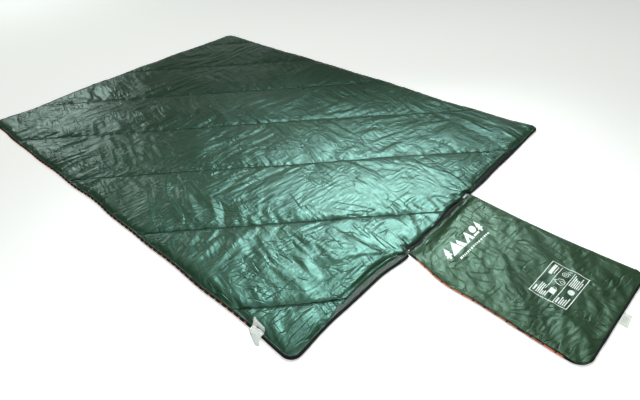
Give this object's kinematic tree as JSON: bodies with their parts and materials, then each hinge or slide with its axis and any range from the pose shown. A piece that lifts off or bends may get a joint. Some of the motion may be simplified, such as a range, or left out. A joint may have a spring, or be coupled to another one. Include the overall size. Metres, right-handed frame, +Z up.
{
  "type": "quilted blanket with stuff pouch",
  "caption": "Packable quilted blanket with diagonal channels, bound edges, side panels that fold over the middle, and a zipped stuff pouch sewn to one short edge.",
  "frame": {"origin": "centre of the open blanket's flat underside, without the pouch", "axes": "+X along the blanket towards the pouch, +Y to the left long edge seen from the foot end, +Z up out of the top side"},
  "size_m": [2.585, 1.476, 0.018],
  "materials": {
    "top_nylon": "glossy crumpled nylon",
    "pouch_nylon": "semi-gloss nylon with white print",
    "underside_nylon": "black nylon with small orange print",
    "batting": "matt fibre",
    "thread": "matt thread",
    "binding": "woven tape",
    "zip_tape": "woven tape",
    "zip_coil": "satin",
    "zip_metal": "dark metal",
    "label": "satin ribbon"
  },
  "bodies": {
    "quilt_middle": {"bottom_shell_middle": "underside_nylon", "batting_middle": "batting", "top_shell_middle": "top_nylon", "quilting_middle": "thread", "binding_pouch_edge_middle": "binding", "binding_foot_edge_middle": "binding", "pouch_root_strip": "underside_nylon", "zip_tape_quilt": "zip_tape", "zip_coil_quilt": "zip_coil", "zip_stop_left": "zip_metal", "zip_stop_right": "zip_metal", "zip_end_tab_left": "zip_tape", "zip_end_tab_right": "zip_tape"},
    "quilt_left": {"bottom_shell_left": "underside_nylon", "batting_left": "batting", "top_shell_left": "top_nylon", "quilting_left": "thread", "binding_pouch_edge_left": "binding", "binding_foot_edge_left": "binding", "binding_long_edge_left": "binding"},
    "quilt_right": {"bottom_shell_right": "underside_nylon", "batting_right": "batting", "top_shell_right": "top_nylon", "quilting_right": "thread", "binding_pouch_edge_right": "binding", "binding_foot_edge_right": "binding", "binding_long_edge_right": "binding"},
    "pouch": {"pouch_back": "underside_nylon", "pouch_front": "pouch_nylon", "pouch_seam_left": "binding", "pouch_seam_right": "binding", "pouch_seam_far": "binding", "zip_tape_pouch": "zip_tape", "zip_coil_pouch": "zip_coil"},
    "slider": {"zip_slider": "zip_metal"},
    "pull": {"zip_pull": "zip_metal"},
    "label_top": {"label_top_leaf": "label"},
    "label_hanging": {"label_hanging_leaf": "label"},
    "tag": {"pouch_tag": "label"}
  },
  "joints": [
    {"name": "fold_left", "type": "hinge", "parent": "quilt_middle", "child": "quilt_left", "pos_m": [0, 0.3631, 0.0264], "axis": [1, 0, 0], "range_deg": [0, 179.8]},
    {"name": "fold_right", "type": "hinge", "parent": "quilt_middle", "child": "quilt_right", "pos_m": [0, -0.3631, 0.0264], "axis": [-1, 0, 0], "range_deg": [0, 179.8]},
    {"name": "fold_pouch", "type": "hinge", "parent": "quilt_middle", "child": "pouch", "pos_m": [1.013, -0.043, 0.0161], "axis": [0, -1, 0], "range_deg": [0, 179.8]},
    {"name": "zip_run", "type": "slide", "parent": "quilt_middle", "child": "slider", "axis": [0, -1, 0], "range_m": [0, 0.343]},
    {"name": "pull_swing", "type": "hinge", "parent": "slider", "child": "pull", "pos_m": [1.006, 0.1285, 0.0093], "axis": [-1, 0, 0], "range_deg": [0, 175]},
    {"name": "label_top_lift", "type": "hinge", "parent": "quilt_right", "child": "label_top", "pos_m": [0.868, -0.719, 0.0076], "axis": [-1, 0, 0], "range_deg": [-85, 0]},
    {"name": "label_hanging_lift", "type": "hinge", "parent": "quilt_right", "child": "label_hanging", "pos_m": [0.873, -0.7192, 0.007], "axis": [-1, 0, 0], "range_deg": [0, 29]},
    {"name": "tag_lift", "type": "hinge", "parent": "pouch", "child": "tag", "pos_m": [1.5652, -0.089, 0.0043], "axis": [0, 1, 0], "range_deg": [-90, 0]}
  ]
}
